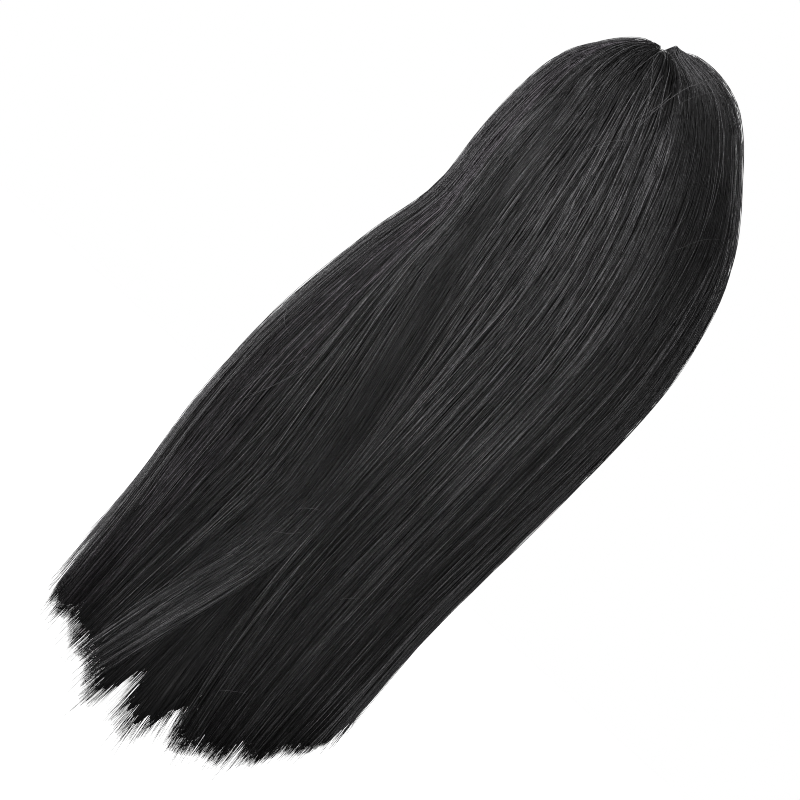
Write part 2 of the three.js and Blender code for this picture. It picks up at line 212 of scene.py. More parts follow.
# How far all loose hairs lie off the surface, and how much further the three kinds lift
LOOSE_LIFT, SEEN_LIFT, RANDOM_LIFT, WISP_LIFT = 0.5, (0.2, 2.2), (0.1, 1.6), (0.5, 5.0)
LOOSE_RADIUS, LOOSE_THIN, LOOSE_TONES = (0.15, 0.24), 0.5, (0.5, 0.85)
LOOSE_STEPS = np.linspace(0, 1, 12)
LOOSE_BOW = np.sin(math.pi * LOOSE_STEPS)

# Tones of strands: place on the ramp and brightness
STRAND_TONES = [(0.0, 0.0004), (0.25, 0.0075), (0.5, 0.030), (0.75, 0.068), (1.0, 0.112)]
BLACK_TINT = (1.0, 0.98, 1.02)
PLUM_TINT = (1.08, 0.98, 1.10)
# How far glints change the tone along a strand, and the cells over the map of these and of streaks
GLINTS, GLINT_CELLS, STREAK_CELLS = (0.5, 1.5), (350, 150, 1), (260, 5, 1)
NET_CELLS_PER_METRE = 700
# Bands of painted sheen and painted shade on the strands: share, half the width, first and last level, and
# change of the tone
SHEEN_AND_SHADE_BANDS = [
    (0.530, 0.085, 2.8, 8.6, 0.30), (0.525, 0.024, 0.2, 3.4, -0.40), (0.620, 0.075, 1.7, 5.6, -0.28),
    (0.635, 0.090, -0.8, 2.3, 1.20), (0.265, 0.048, 5.2, 10.8, -0.25), (0.338, 0.048, 4.0, 7.8, 0.25),
    (0.440, 0.055, 3.5, 8.5, 0.20), (0.320, 0.070, -0.8, 3.5, 0.20)]
# Levels over which a band comes and goes
BAND_COMES, BAND_GOES = 0.8, 1.2
# The band where strands differ less, the tone that they come near to and how near
CALM_BAND, CALM_TONE, CALM = (0.615, 0.075, 1.5, 5.8), 0.42, 0.6
# Tones are raised to these powers at the crown and at the hem, which makes more of the strands dark; the
# stronger power towards the hem is painted shade on the lower hair
CROWN_POWER, HEM_SHADE_POWER, POWER_LEVELS = 1.15, 1.75, (4.5, 10.5)
# Part of the tone that strands below the outer layer keep, as painted shade under the outer strands
DEEP_SHADE_TONE = 0.6
# Shade right of the valley: part of the tone that it takes, widths and levels between which it widens, and
# shares and levels over which it sets in, comes and goes
SHADE, SHADE_WIDTHS, SHADE_WIDENS = 0.45, (0.010, 0.044), (5.0, 7.7)
SHADE_SETS_IN, SHADE_COMES, SHADE_GOES = (-0.006, 0.004), (4.2, 5.4), (8.0, 9.4)

# The map gives strands its left part, by tone and length, and the bodies under them the rest
STRAND_MAP, MASS_MAP = 0.30, 0.32
TONE_START, TONE_SPAN, FACE_SPAN = 0.01, 0.97, 0.006
LENGTH_START, LENGTH_SPAN = 0.01, 0.98
MASS_MAP_ACROSS, MASS_MAP_ALONG = (0.02, 0.98), (0.01, 0.99)

# Camera and stage, in metres
ROLL, ELEVATION = math.radians(42), math.radians(4)
DISTANCE, VIEW_WIDTH, SENSOR_WIDTH = 2.4, 0.560, 36
AIM = Vector((0.0105, 0.02, -0.301))
FLOOR_HALF, FLOOR_HEIGHT, FLOOR_GLOW = 12.0, -1.6, 0.9
WORLD_SEEN, WORLD_LIGHT = 1.0, 0.3
WHITE = (1, 1, 1, 1)
# Lights: name, place, what it is aimed at, its side and its power in watts
HAIR_MIDDLE, HAIR_FRONT, CROWN = (0.0, 0.0, -0.28), (0.0, 0.0, -0.2), (0.0, 0.0, 0.0)
LIGHTS = [
    ("key", (1.1, 1.7, -0.35), HAIR_MIDDLE, 0.9, 45),
    ("back", (0.0, 2.1, -0.3), HAIR_MIDDLE, 0.9, 18),
    ("left_high", (1.5, 0.5, 1.0), HAIR_MIDDLE, 0.9, 16),
    ("back_high", (0.9, 1.6, 0.7), HAIR_MIDDLE, 0.9, 14),
    ("top", (-0.2, 0.5, 1.9), CROWN, 0.8, 12),
    ("right", (-1.9, 0.3, -0.2), HAIR_MIDDLE, 0.9, 3),
    ("front", (-0.3, -2.0, 0.2), HAIR_MIDDLE, 1.2, 40),
    ("front_low", (0.9, -1.8, -0.7), HAIR_FRONT, 1.2, 25)]


# Strand field

def smooth(low, high, value):
    """Rise from 0 at low to 1 at high, level at both ends."""
    t = np.clip((value - low) / (high - low), 0, 1)
    return t * t * (3 - 2 * t)


def mix(a, b, t):
    """Value a part t of the way from a to b."""
    return a + (b - a) * t


def cap_height(x, y):
    """Height of the cap's outer face."""
    sizes = HEAD_ABOVE + CAP_WALL
    return HEAD_CENTRE[2] + sizes[2] * np.sqrt(1 - (x / sizes[0]) ** 2 - (y / sizes[1]) ** 2)


def onto_head(points, grow, only_inside=False):
    """Points moved onto the head form grown by some millimetres, or only those inside it moved out."""
    out = points - HEAD_CENTRE
    sizes = np.where(out[..., 2:] > 0, HEAD_ABOVE, HEAD_BELOW) + grow
    reach = np.linalg.norm(out / sizes, axis=-1, keepdims=True)
    moved = out / reach + HEAD_CENTRE
    return np.where(reach < 1, moved, points) if only_inside else moved


def beside_parting(share, radius):
    """Places at a radius round the parting: x, y, turn round the whorl and part of the way back."""
    along = np.where(share < PARTING_LEFT, share / PARTING_LEFT, (1 - share) / (1 - PARTING_RIGHT))
    along = np.minimum(along, 1)
    turn = math.pi * np.clip((share - PARTING_LEFT) / (PARTING_RIGHT - PARTING_LEFT), 0, 1)
    x = PARTING_X + radius * np.cos(turn)
    y = mix(PARTING_FRONT, PARTING_BACK, along) + radius * np.sin(turn)
    return x, y, turn, along


def root_points(share, radius):
    """Roots, which stand off the cap, lower at the front and at the end of the parting."""
    x, y, turn, along = beside_parting(share, radius)
    back = mix(mix(ROOT_LEFT, ROOT_RIGHT, turn / math.pi), ROOT_WHORL, np.sin(turn))
    return np.stack([x, y, cap_height(x, y) + mix(ROOT_FRONT, back, along)], -1)


def groove_points(share, height):
    """Points along the middle of the parting, at a part of the roots' height above the cap."""
    x, y, _, _ = beside_parting(share, GROOVE_RADIUS)
    top = root_points(share, ROOT_OUTER)[..., 2]
    return np.stack([x, y, mix(cap_height(x, y), top, height)], -1)


def back_arc(side, back, share):
    """Level points of strands between a side guide and the back guide."""
    turn = share * math.pi / 2
    return np.stack([
        mix(back[:, 0], side[:, 0], np.cos(turn)),
        mix(side[:, 1], back[:, 1], np.sin(turn)),
        mix(side[:, 2], back[:, 2], np.sin(turn) ** 2)], -1)


def front_arc(side, edge, share):
    """Level points of strands between a side guide and a front edge."""
    forward = np.sin(share * EDGE_ARC) / math.sin(EDGE_ARC)
    inward = (1 - np.cos(share * EDGE_ARC)) / (1 - math.cos(EDGE_ARC))
    return np.stack([
        mix(side[:, 0], edge[:, 0], inward),
        mix(side[:, 1], edge[:, 1], forward),
        mix(side[:, 2], edge[:, 2], forward ** 2)], -1)


def drift(share):
    """Share that each strand has moved at each level."""
    to_valley = smooth(DRIFT_STARTS, VALLEY, share)[:, None]
    to_back = smooth(VALLEY, DRIFT_BACK, share)[:, None]
    to_right = smooth(DRIFT_BACK, DRIFT_ENDS, share)[:, None]
    return mix(mix(VALLEY_DRIFT * to_valley, BACK_DRIFT, to_back), 0, to_right)


def strand_keys(share):
    """Root and level points of the strand at each share, as strands by 12 by 3."""
    at = share[:, None] + drift(share)
    levels = np.select(
        [(at < guide)[..., None] for guide in (GUIDE_LEFT, GUIDE_BACK, GUIDE_RIGHT)],
        [front_arc(LEFT, LEFT_EDGE, (GUIDE_LEFT - at) / GUIDE_LEFT),
         back_arc(LEFT, BACK, (at - GUIDE_LEFT) / (GUIDE_BACK - GUIDE_LEFT)),
         back_arc(RIGHT, BACK, (GUIDE_RIGHT - at) / (GUIDE_RIGHT - GUIDE_BACK))],
        front_arc(RIGHT, RIGHT_EDGE, (at - GUIDE_RIGHT) / (1 - GUIDE_RIGHT)))
    levels[:, -1, 2] = np.interp(at[:, -1], HEM_AT, HEM_HEIGHT)
    return np.concatenate([root_points(share, ROOT_OUTER)[:, None], levels], 1)


def curve_through(keys, places):
    """Centripetal Catmull-Rom curves through keys, at places counted in keys, straight past the last."""
    first = 2 * keys[:, :1] - keys[:, 1:2]
    last = 2 * keys[:, -1:] - keys[:, -2:-1]
    padded = np.concatenate([first, keys, last], 1)
    made = []
    for place in places:
        inside = min(place, LAST_LEVEL)
        k = min(int(inside), LAST_LEVEL - 1)
        t = inside - k
        p0, p1, p2, p3 = (padded[:, k + n] for n in range(4))
        spans = ((p0, p1), (p1, p2), (p2, p3))
        d0, d1, d2 = (np.linalg.norm(b - a, axis=1, keepdims=True) ** 0.5 for a, b in spans)
        m1 = ((p1 - p0) / d0 - (p2 - p0) / (d0 + d1) + (p2 - p1) / d1) * d1
        m2 = ((p2 - p1) / d1 - (p3 - p1) / (d1 + d2) + (p3 - p2) / d2) * d1
        point = p1 + m1 * t + (3 * (p2 - p1) - 2 * m1 - m2) * t ** 2 + (2 * (p1 - p2) + m1 + m2) * t ** 3
        made.append(point + m2 * (place - inside))
    return np.stack(made, 1)


def value_noise(rng, rows, columns, cells_across, cells_along):
    """Smooth random grid from -1 to 1."""
    seeds = rng.uniform(-1, 1, (cells_across + 1, cells_along + 1))

    def stretch(values, count):
        x = np.linspace(0, len(values) - 1, count)
        i = np.minimum(x.astype(int), len(values) - 2)
        t = smooth(0, 1, x - i)[:, None]
        return values[i] * (1 - t) + values[i + 1] * t

    return stretch(stretch(seeds, rows).T, columns).T


def surface_relief(share):
    """Height over the plain form: soft waves, the valley and the ridge beside the parting."""
    rng = np.random.default_rng(SEED)
    size = (FIELD_ACROSS, len(FIELD_LEVELS))
    waves = sum(height * value_noise(rng, *size, *cells) for height, *cells in WAVES)
    lost = WAVES_LOST * smooth(*WAVES_FALL, FIELD_LEVELS)
    waves *= mix(WAVES_AT_CROWN, 1, smooth(*WAVES_RISE, FIELD_LEVELS)) - lost
    valley = np.exp(-((share[:, None] - VALLEY) / VALLEY_HALF) ** 2) * smooth(*VALLEY_COMES, FIELD_LEVELS)
    valley *= 1 - smooth(*VALLEY_GOES, FIELD_LEVELS)
    ridge = np.exp(-((FIELD_LEVELS - RIDGE_LEVEL) / RIDGE_HALF) ** 2)
    ridge = ridge * smooth(*RIDGE_RISES, share)[:, None]
    return waves - VALLEY_DEPTH * valley + RIDGE_HEIGHT * ridge


def make_field():
    """Outer and inner surfaces of the hair and outward directions, over shares and levels."""
    share = np.linspace(0, 1, FIELD_ACROSS)
    outer = curve_through(strand_keys(share), FIELD_LEVELS)
    down = np.gradient(outer, axis=1)
    round_about = np.gradient(outer, axis=0)
    out = np.cross(down, round_about)
    out /= np.linalg.norm(out, axis=-1, keepdims=True)
    level = np.minimum(FIELD_LEVELS, LAST_LEVEL)
    depth = np.interp(level, range(LAST_LEVEL + 1), DEPTH)[None, :, None]
    seat = np.interp(level, range(LAST_LEVEL + 1), SEAT)[None, :, None]
    off_head = CAP_WALL + CAP_CLEARANCE
    seated = onto_head(outer, off_head)
    seated[:, 0] = onto_head(root_points(share, ROOT_INNER), off_head)
    inner = onto_head(mix(outer - out * depth, seated, seat), off_head, only_inside=True)
    return outer + out * surface_relief(share)[..., None], inner, out


OUTER, INNER, OUT = make_field()


def sampled(grid, share, level):
    """Values of a grid of the field between its points."""
    x = np.clip(share, 0, 1) * (FIELD_ACROSS - 1)
    y = np.clip(level, 0, FIELD_LEVELS[-1]) / FIELD_STEP
    i = np.minimum(x.astype(int), FIELD_ACROSS - 2)
    j = np.minimum(y.astype(int), len(FIELD_LEVELS) - 2)
    fx, fy = (x - i)[..., None], (y - j)[..., None]
    return mix(mix(grid[i, j], grid[i + 1, j], fx), mix(grid[i, j + 1], grid[i + 1, j + 1], fx), fy)


def in_hair(share, level, depth, lift=0.0):
    """Points at places in the hair, moved out by a lift, and the outward directions there."""
    outer = sampled(OUTER, share, level)
    out = sampled(OUT, share, level)
    point = mix(outer, sampled(INNER, share, level), np.asarray(depth)[..., None])
    return point + out * np.asarray(lift)[..., None], out


# Objects and meshes from arrays

def new_object(name, data):
    """Object in the scene."""
    made = bpy.data.objects.new(name, data)
    bpy.context.scene.collection.objects.link(made)
    return made


def mesh_object(name, points, faces, places, slots, materials):
    """Object from points in millimetres and a list of arrays of faces with equally many corners."""
    mesh = bpy.data.meshes.new(name)
    mesh.vertices.add(len(points))
    mesh.vertices.foreach_set("co", (points * MM).astype(np.float32).ravel())
    corners = np.concatenate([f.ravel() for f in faces])
    counts = np.concatenate([np.full(len(f), f.shape[1]) for f in faces])
    mesh.loops.add(len(corners))
    mesh.loops.foreach_set("vertex_index", corners.astype(np.int32))
    mesh.polygons.add(len(counts))
    mesh.polygons.foreach_set("loop_start", (np.cumsum(counts) - counts).astype(np.int32))
    mesh.polygons.foreach_set("material_index", np.concatenate(slots).astype(np.int32))
    mesh.polygons.foreach_set("use_smooth", np.ones(len(counts), bool))
    layer = mesh.uv_layers.new(name="OFBake")
    on_map = np.concatenate([p.reshape(-1, 2) for p in places])
    layer.uv.foreach_set("vector", on_map.astype(np.float32).ravel())
    mesh.update(calc_edges=True)
    for material in materials:
        mesh.materials.append(material)
    return new_object(name, mesh)


class Build:
    """Gathers points, faces and map places of one mesh."""

    def __init__(self):
        self.points, self.faces, self.places, self.slots, self.count = [], [], [], [], 0

    def add(self, points, faces, places, slot):
        """Add points, the faces between them, map places and the material's slot."""
        self.points.append(points)
        self.faces += [f + self.count for f in faces]
        self.places += places
        self.slots += [np.full(len(f), slot) for f in faces]
        self.count += len(points)

    def finish(self, name, materials):
        """Object with all that was added."""
        points = np.concatenate(self.points)
        return mesh_object(name, points, self.faces, self.places, self.slots, materials)


def quads_of(a, b, c, d):
    """Faces from arrays of their four corners."""
    return np.stack([a, b, c, d], -1).reshape(-1, 4)


def add_tubes(build, paths, outs, radii, tones, roll):
    """Closed tubes along paths (tubes by points by 3), with a radius and a tone at each point."""
    count, steps, _ = paths.shape
    along = np.gradient(paths, axis=1)
    along /= np.linalg.norm(along, axis=-1, keepdims=True)
    side = np.cross(along, outs)
    side /= np.linalg.norm(side, axis=-1, keepdims=True)
    up = np.cross(side, along)
    turn = roll[:, None] + np.arange(STRAND_SIDES) * math.tau / STRAND_SIDES
    turn = turn[:, None, :, None]
    ring = np.cos(turn) * up[:, :, None] + np.sin(turn) * side[:, :, None]
    points = (paths[:, :, None] + ring * radii[:, :, None, None]).reshape(-1, 3)
    number = np.arange(count * steps * STRAND_SIDES).reshape(count, steps, STRAND_SIDES)
    after = np.roll(number, -1, axis=2)
    quads = quads_of(number[:, :-1], after[:, :-1], after[:, 1:], number[:, 1:])
    ends = np.concatenate([number[:, 0, ::-1], number[:, -1]]).reshape(-1, STRAND_SIDES)
    face = FACE_SPAN * np.arange(STRAND_SIDES + 1) / STRAND_SIDES
    u = STRAND_MAP * (TONE_START + TONE_SPAN * tones[:, :, None] + face)
    length = LENGTH_START + LENGTH_SPAN * np.arange(steps) / (steps - 1)
    place = np.stack([u, np.broadcast_to(length[None, :, None], u.shape)], -1)
    quad_places = np.stack([place[:, :-1, :-1], place[:, :-1, 1:], place[:, 1:, 1:], place[:, 1:, :-1]], -2)
    end_places = np.concatenate([place[:, 0, :STRAND_SIDES][:, ::-1], place[:, -1, :STRAND_SIDES]])
    build.add(points, [quads, ends], [quad_places, end_places], 0)


def add_slab(build, outer, inner, slot):
    """Closed slab between an outer and an inner grid of points."""
    columns, rows, _ = outer.shape
    points = np.concatenate([outer.reshape(-1, 3), inner.reshape(-1, 3)])
    top = np.arange(columns * rows).reshape(columns, rows)
    under = top + columns * rows
    faces = [
        quads_of(top[:-1, :-1], top[:-1, 1:], top[1:, 1:], top[1:, :-1]),
        quads_of(under[:-1, :-1], under[1:, :-1], under[1:, 1:], under[:-1, 1:]),
        quads_of(top[0, :-1], under[0, :-1], under[0, 1:], top[0, 1:]),
        quads_of(top[-1, 1:], under[-1, 1:], under[-1, :-1], top[-1, :-1]),
        quads_of(top[1:, 0], under[1:, 0], under[:-1, 0], top[:-1, 0]),
        quads_of(top[:-1, -1], under[:-1, -1], under[1:, -1], top[1:, -1])]
    u, v = np.meshgrid(
        np.linspace(*MASS_MAP_ACROSS, columns), np.linspace(*MASS_MAP_ALONG, rows), indexing="ij")
    half = (1 - MASS_MAP) / 2
    place = np.concatenate([
        np.stack([MASS_MAP + u * half, v], -1).reshape(-1, 2),
        np.stack([MASS_MAP + half + u * half, v], -1).reshape(-1, 2)])
    build.add(points, faces, [place[f] for f in faces], slot)


# Materials

def new_material(name):
    """Material with its nodes, links and shader."""
    material = bpy.data.materials.new(name)
    material.use_nodes = True
    nodes = material.node_tree.nodes
    return material, nodes, material.node_tree.links, nodes["Principled BSDF"]


def add_map(nodes):
    """Places on the map that all hair pieces have."""
    uv = nodes.new("ShaderNodeUVMap")
    uv.uv_map = "OFBake"
    return uv.outputs["UV"]


def add_noise(nodes, links, cells, detail):
    """Noise over the map, with so many cells across and along it."""
    stretch = nodes.new("ShaderNodeMapping")
    stretch.inputs["Scale"].default_value = cells
    links.new(add_map(nodes), stretch.inputs["Vector"])
    noise = nodes.new("ShaderNodeTexNoise")
    noise.inputs["Scale"].default_value = 1.0
    noise.inputs["Detail"].default_value = detail
    links.new(stretch.outputs[0], noise.inputs["Vector"])
    return noise.outputs["Fac"]


def add_math(nodes, links, operation, value):
    """Node that works on a value, with its second input still free."""
    node = nodes.new("ShaderNodeMath")
    node.operation = operation
    links.new(value, node.inputs[0])
    return node


def colour_by(nodes, links, shader, value, stops):
    """Base colour from a ramp over a value."""
    ramp = nodes.new("ShaderNodeValToRGB")
    elements = ramp.color_ramp.elements
    while len(elements) < len(stops):
        elements.new(0.5)
    for element, (place, colour) in zip(elements, stops):
        element.position = place
        element.color = (*colour, 1)
    links.new(value, ramp.inputs["Fac"])
    links.new(ramp.outputs["Color"], shader.inputs["Base Color"])


def strand_material(name, tint):
    """Hair fibre, its tone read from the place across the map and varied by glints."""
    material, nodes, links, shader = new_material(name)
    split = nodes.new("ShaderNodeSeparateXYZ")
    links.new(add_map(nodes), split.inputs[0])
    tone = add_math(nodes, links, "DIVIDE", split.outputs["X"])
    tone.inputs[1].default_value = STRAND_MAP
    glint = nodes.new("ShaderNodeMapRange")
    glint.inputs["From Min"].default_value = 0.25
    glint.inputs["From Max"].default_value = 0.75
    glint.inputs["To Min"].default_value = GLINTS[0]
    glint.inputs["To Max"].default_value = GLINTS[1]
    links.new(add_noise(nodes, links, GLINT_CELLS, 1.0), glint.inputs["Value"])
    varied = add_math(nodes, links, "MULTIPLY", tone.outputs[0])
    links.new(glint.outputs["Result"], varied.inputs[1])
    stops = [(place, [brightness * t for t in tint]) for place, brightness in STRAND_TONES]
    colour_by(nodes, links, shader, varied.outputs[0], stops)
    shader.inputs["Roughness"].default_value = 0.4
    shader.inputs["Specular IOR Level"].default_value = 0.18
    return material


def mass_material():
    """Black hair under the strands, darker than them as painted shade deep in the hair, streaked along the
    locks.
    """
    material, nodes, links, shader = new_material("hair_mass")
    stops = [(0.35, (0.0015, 0.0015, 0.0016)), (0.7, (0.005, 0.0049, 0.0052))]
    colour_by(nodes, links, shader, add_noise(nodes, links, STREAK_CELLS, 3.0), stops)
    shader.inputs["Roughness"].default_value = 0.6
    shader.inputs["Specular IOR Level"].default_value = 0.15
    return material


def net_material():
    """Black stretch net, its threads lighter and raised."""
    material, nodes, links, shader = new_material("cap_net")
    place = nodes.new("ShaderNodeTexCoord")
    cells = nodes.new("ShaderNodeTexVoronoi")
    cells.feature = "DISTANCE_TO_EDGE"
    cells.inputs["Scale"].default_value = NET_CELLS_PER_METRE
    links.new(place.outputs["Object"], cells.inputs["Vector"])
    stops = [(0.0, (0.02, 0.019, 0.021)), (0.12, (0.004, 0.004, 0.0045))]
    colour_by(nodes, links, shader, cells.outputs["Distance"], stops)
    bump = nodes.new("ShaderNodeBump")
    bump.invert = True
    bump.inputs["Strength"].default_value = 0.6
    bump.inputs["Distance"].default_value = 0.0004
    links.new(cells.outputs["Distance"], bump.inputs["Height"])
    links.new(bump.outputs["Normal"], shader.inputs["Normal"])
    shader.inputs["Roughness"].default_value = 0.75
    shader.inputs["Specular IOR Level"].default_value = 0.2
    return material


STRAND_LOOK = strand_material("hair_strand", BLACK_TINT)
LEFT_LOOK = strand_material("hair_strand_left", PLUM_TINT)
MASS_LOOK = mass_material()


# Hair

def make_bunches():
    """Places and ways of the small bunches, and the waves of the hem."""
    rng = np.random.default_rng(SEED + 40)
    return {
        "centre": np.sort(rng.uniform(0, 1, BUNCHES)),
        "pull": rng.uniform(0.05, 0.3, BUNCHES),
        "lift": rng.uniform(-0.006, 0.008, BUNCHES),
        "phase": rng.uniform(0, math.tau, BUNCHES),
        "tip": rng.uniform(-9, 3, HEM_WAVES),
        "tone": rng.uniform(-0.02, 0.02, BUNCHES)}


BUNCH = make_bunches()


def hem_wave(share):
    """How far the hem's waves reach below its plain line."""
    return np.interp(share * (HEM_WAVES - 1), range(HEM_WAVES), BUNCH["tip"])


def hem_cut(share):
    """How far the hem is cut back at its gaps."""
    cut = np.zeros(share.shape)
    for at, depth, half in HEM_GAPS:
        cut += depth * np.clip(1 - np.abs(share - at) / half, 0, 1)
    return cut


def fray(share):
    """How far strands lie in a frayed corner of the hem, from 0 to 1."""
    return sum(np.exp(-((share - at) / half) ** 2) for at, half in HEM_CORNERS)


def valley_shade(share, level):
    """How far strands lie in the shade of the valley, which widens to its right on the way down."""
    away = share - VALLEY
    width = np.interp(level, SHADE_WIDENS, SHADE_WIDTHS)
    beside = smooth(*SHADE_SETS_IN, away) * (1 - smooth(0.5 * width, 1.4 * width, away))
    return beside * smooth(*SHADE_COMES, level) * (1 - smooth(*SHADE_GOES, level))


def in_band(share, level, at, half, first, last):
    """How far strands lie in a band, from 0 to 1."""
    across = 1 - smooth(0.5 * half, half, np.abs(share - at))
    return across * smooth(first, first + BAND_COMES, level) * (1 - smooth(last - BAND_GOES, last, level))


def sheen_and_shade_tone(share, level):
    """Factor on the tone of strands in the bands of painted sheen and shade."""
    return 1 + sum(change * in_band(share, level, *band) for *band, change in SHEEN_AND_SHADE_BANDS)


def spread(number, stride, rng):
    """Values from 0 to 1 that neighbouring strands share out evenly."""
    return (number * stride + rng.random() + STRIDE_CHANCE * rng.random(len(number))) % 1


def strand_depths(rng, layer, anywhere):
    """Depths of strands: in the outer layer, below it or in the inner one, or else anywhere."""
    count = len(layer)
    between = rng.uniform(OUTER_DEPTH, INNER_DEPTH, count)
    depth = np.where(layer < INNER_PART, between, rng.uniform(INNER_DEPTH, 1.0, count))
    depth = np.where(layer < OUTER_PART, OUTER_DEPTH * (layer / OUTER_PART) ** 1.1, depth)
    return rng.uniform(0, 1, count) if anywhere else depth


def moves_at_hem(share, depth):
    """Which strands cross the others near the hem, and how far round each crosses or leans."""
    crosses = (share > CROSSING[0]) & (share < CROSSING[1]) & (depth < CROSSING_DEPTH)
    cross = np.where(crosses, np.interp(share, CROSSING, CROSSING_MOVE), 0)
    lean = np.interp(share, LEAN_AT, LEAN_MOVE) * mix(1.0, DEEP_LEAN, depth)
    return crosses, cross, np.where(crosses, 0, lean)


def end_levels(rng, share):
    """Levels of the tips at shares of the hem."""
    count = len(share)
    is_cut = rng.random(count) < CUT_PART
    cut = np.where(is_cut, hem_cut(share) * rng.uniform(*CUT_SPREAD, count), 0)
    frayed = fray(share)
    tip = hem_wave(share) - cut - np.abs(rng.normal(0, TIP_SPREAD, count)) * (1 + frayed)
    hangs_low = rng.random(count) < LOW_TIPS + FRAYED_LOW_TIPS * frayed
    tip = np.where(hangs_low, tip + rng.uniform(*LOW_TIP_LENGTH, count), tip)
    return LAST_LEVEL + tip / LEVEL_LENGTH


def start_levels(rng, share, short):
    """Which strands start at the parting, and the level where each starts."""
    count = len(share)
    # Fewer strands start at the parting than lie further down, so many of them start lower
    at_whorl = (share > PARTING_LEFT) & (share < PARTING_RIGHT)
    from_root = rng.random(count) < np.where(at_whorl, WHORL_ROOTS, PARTING_ROOTS)
    start = np.where(from_root, rng.uniform(*ROOT_STARTS, count), rng.uniform(*LOWER_STARTS, count))
    if short:
        start = rng.uniform(*SHORT_STARTS, count)
    return from_root, start


def add_strands(build, rng, starts, ends, count, steps, short=False, at_front=False):
    """Strands of one lock: long ones, short ones that thicken the hem, or those of a front edge."""
    number = np.arange(count)
    share = mix(starts, ends, (number + rng.random(count)) / count)
    layer = spread(number, LAYER_STRIDE, rng)
    depth = strand_depths(rng, layer, short or at_front)
    crosses, cross, lean = moves_at_hem(share, depth)
    end_level = end_levels(rng, share + lean + cross)
    from_root, start_level = start_levels(rng, share, short)
    level = start_level[:, None] + (end_level - start_level)[:, None] * steps
    phase = rng.uniform(0, math.tau, (count, 2))
    pace = rng.uniform(*STRAND_PACE, (count, 2))

    # The way round: towards the bunch, with small waves, then across or leaning at the hem
    mine = np.abs(share[:, None] - BUNCH["centre"]).argmin(1)
    wander = rng.uniform(*WANDER, (count, 1)) / GIRTH * np.sin(level * pace[:, :1] + phase[:, :1])
    bunch_wave = np.sin(level * SWAY_PACE + BUNCH["phase"][mine][:, None])
    sway = SWAY / GIRTH * bunch_wave * smooth(*SWAY_LEVELS, level)
    gather = (BUNCH["pull"][mine] * rng.random(count) ** 1.5)[:, None] * smooth(*GATHER_LEVELS, level)
    path_share = mix(share[:, None], BUNCH["centre"][mine][:, None], gather) + wander + sway
    crossed = smooth(*CROSSING_LEVELS, level)
    leaned = (np.clip(level - LEAN_LEVEL, 0, None) / (LAST_LEVEL - LEAN_LEVEL)) ** 2
    path_share = path_share + cross[:, None] * crossed + lean[:, None] * leaned

    # The depth: outer bunches lie higher or lower, and strands that start below the roots rise
    lifted = BUNCH["lift"][mine][:, None] * mix(CROWN_LIFT, 1, smooth(*LIFT_LEVELS, level))
    dip = DIP * np.sin(level * DIP_PACE * pace[:, 1:] + phase[:, 1:])
    deep = depth[:, None] + np.where((layer < OUTER_PART)[:, None], lifted, 0) + dip
    deep = np.clip(deep - CROSSING_RISE * crosses[:, None] * crossed, HIGHEST, 1.0)
    if not short:
        risen = np.exp(-(level - start_level[:, None]) / RISE_LEVELS)
        deep = np.where(from_root[:, None], deep, mix(deep, RISE_DEPTH, risen))
    points, outs = in_hair(path_share, level, deep)
    if not short:
        points[:, 0] = np.where(from_root[:, None], groove_points(share, GROOVE_HEIGHT), points[:, 0])

    radius = rng.uniform(*(SHORT_RADIUS if short else LONG_RADIUS), count)
    radii = radius[:, None] * mix(ROOT_THIN, 1.0, smooth(*THICKEN, level))
    radii = radii * (1 - TIP_THIN * smooth(*(SHORT_TIP if short else LONG_TIP), steps))

    # The tone: spread over the strands, then changed by flicker, painted shade and sheen, and bands of them
    tones = spread(number, TONE_STRIDE, rng) * mix(1.0, DEEP_SHADE_TONE, np.clip(depth / OUTER_DEPTH, 0, 1))
    tones = np.clip(tones + BUNCH["tone"][mine], 0, 1)
    flicker = 1 - FLICKER + FLICKER * np.sin(level * FLICKER_PACE * pace[:, :1] + phase[:, 1:])
    tones = tones[:, None] * flicker * (1 - SHADE * valley_shade(path_share, level))
    tones = tones + CROSSING_SHEEN * crosses[:, None] * smooth(*SHEEN_LEVELS, level)
    tones = mix(tones, CALM_TONE, CALM * in_band(path_share, level, *CALM_BAND))
    tones = np.clip(tones * sheen_and_shade_tone(path_share, level), 0, 1)
    tones = tones ** mix(CROWN_POWER, HEM_SHADE_POWER, smooth(*POWER_LEVELS, level))
    add_tubes(build, points, outs, radii, tones, rng.uniform(0, math.tau, count))


def add_mass(build, rng, starts, ends):
    """Body of one lock under its strands, with low ridges, ending above the hem."""
    first = max(starts + MASS_GAP, FRONT_EDGE)
    share = np.linspace(first, min(ends - MASS_GAP, 1 - FRONT_EDGE), MASS_COLUMNS)
    above = MASS_SHORT + MASS_UNEVEN * rng.random(MASS_COLUMNS)
    above = above + MASS_FRAY * fray(share) + MASS_CUT * hem_cut(share)
    end = LAST_LEVEL + (hem_wave(share) - above) / LEVEL_LENGTH
    # The first row is moved into the parting below
    reach = np.concatenate([[0], np.linspace(*MASS_CLOSE), np.linspace(*MASS_WIDE)])
    across = np.repeat(share[:, None], len(reach), 1)
    along = MASS_START + (end - MASS_START)[:, None] * reach
    ridges = value_noise(rng, MASS_COLUMNS, len(reach), *MASS_CELLS) * MASS_RIDGES
    outer, _ = in_hair(across, along, MASS_OUTER, ridges)
    inner, _ = in_hair(across, along, MASS_INNER)
    outer[:, 0] = groove_points(share, MASS_GROOVE_OUTER)
    inner[:, 0] = groove_points(share, MASS_GROOVE_INNER)
    add_slab(build, outer, inner, 1)


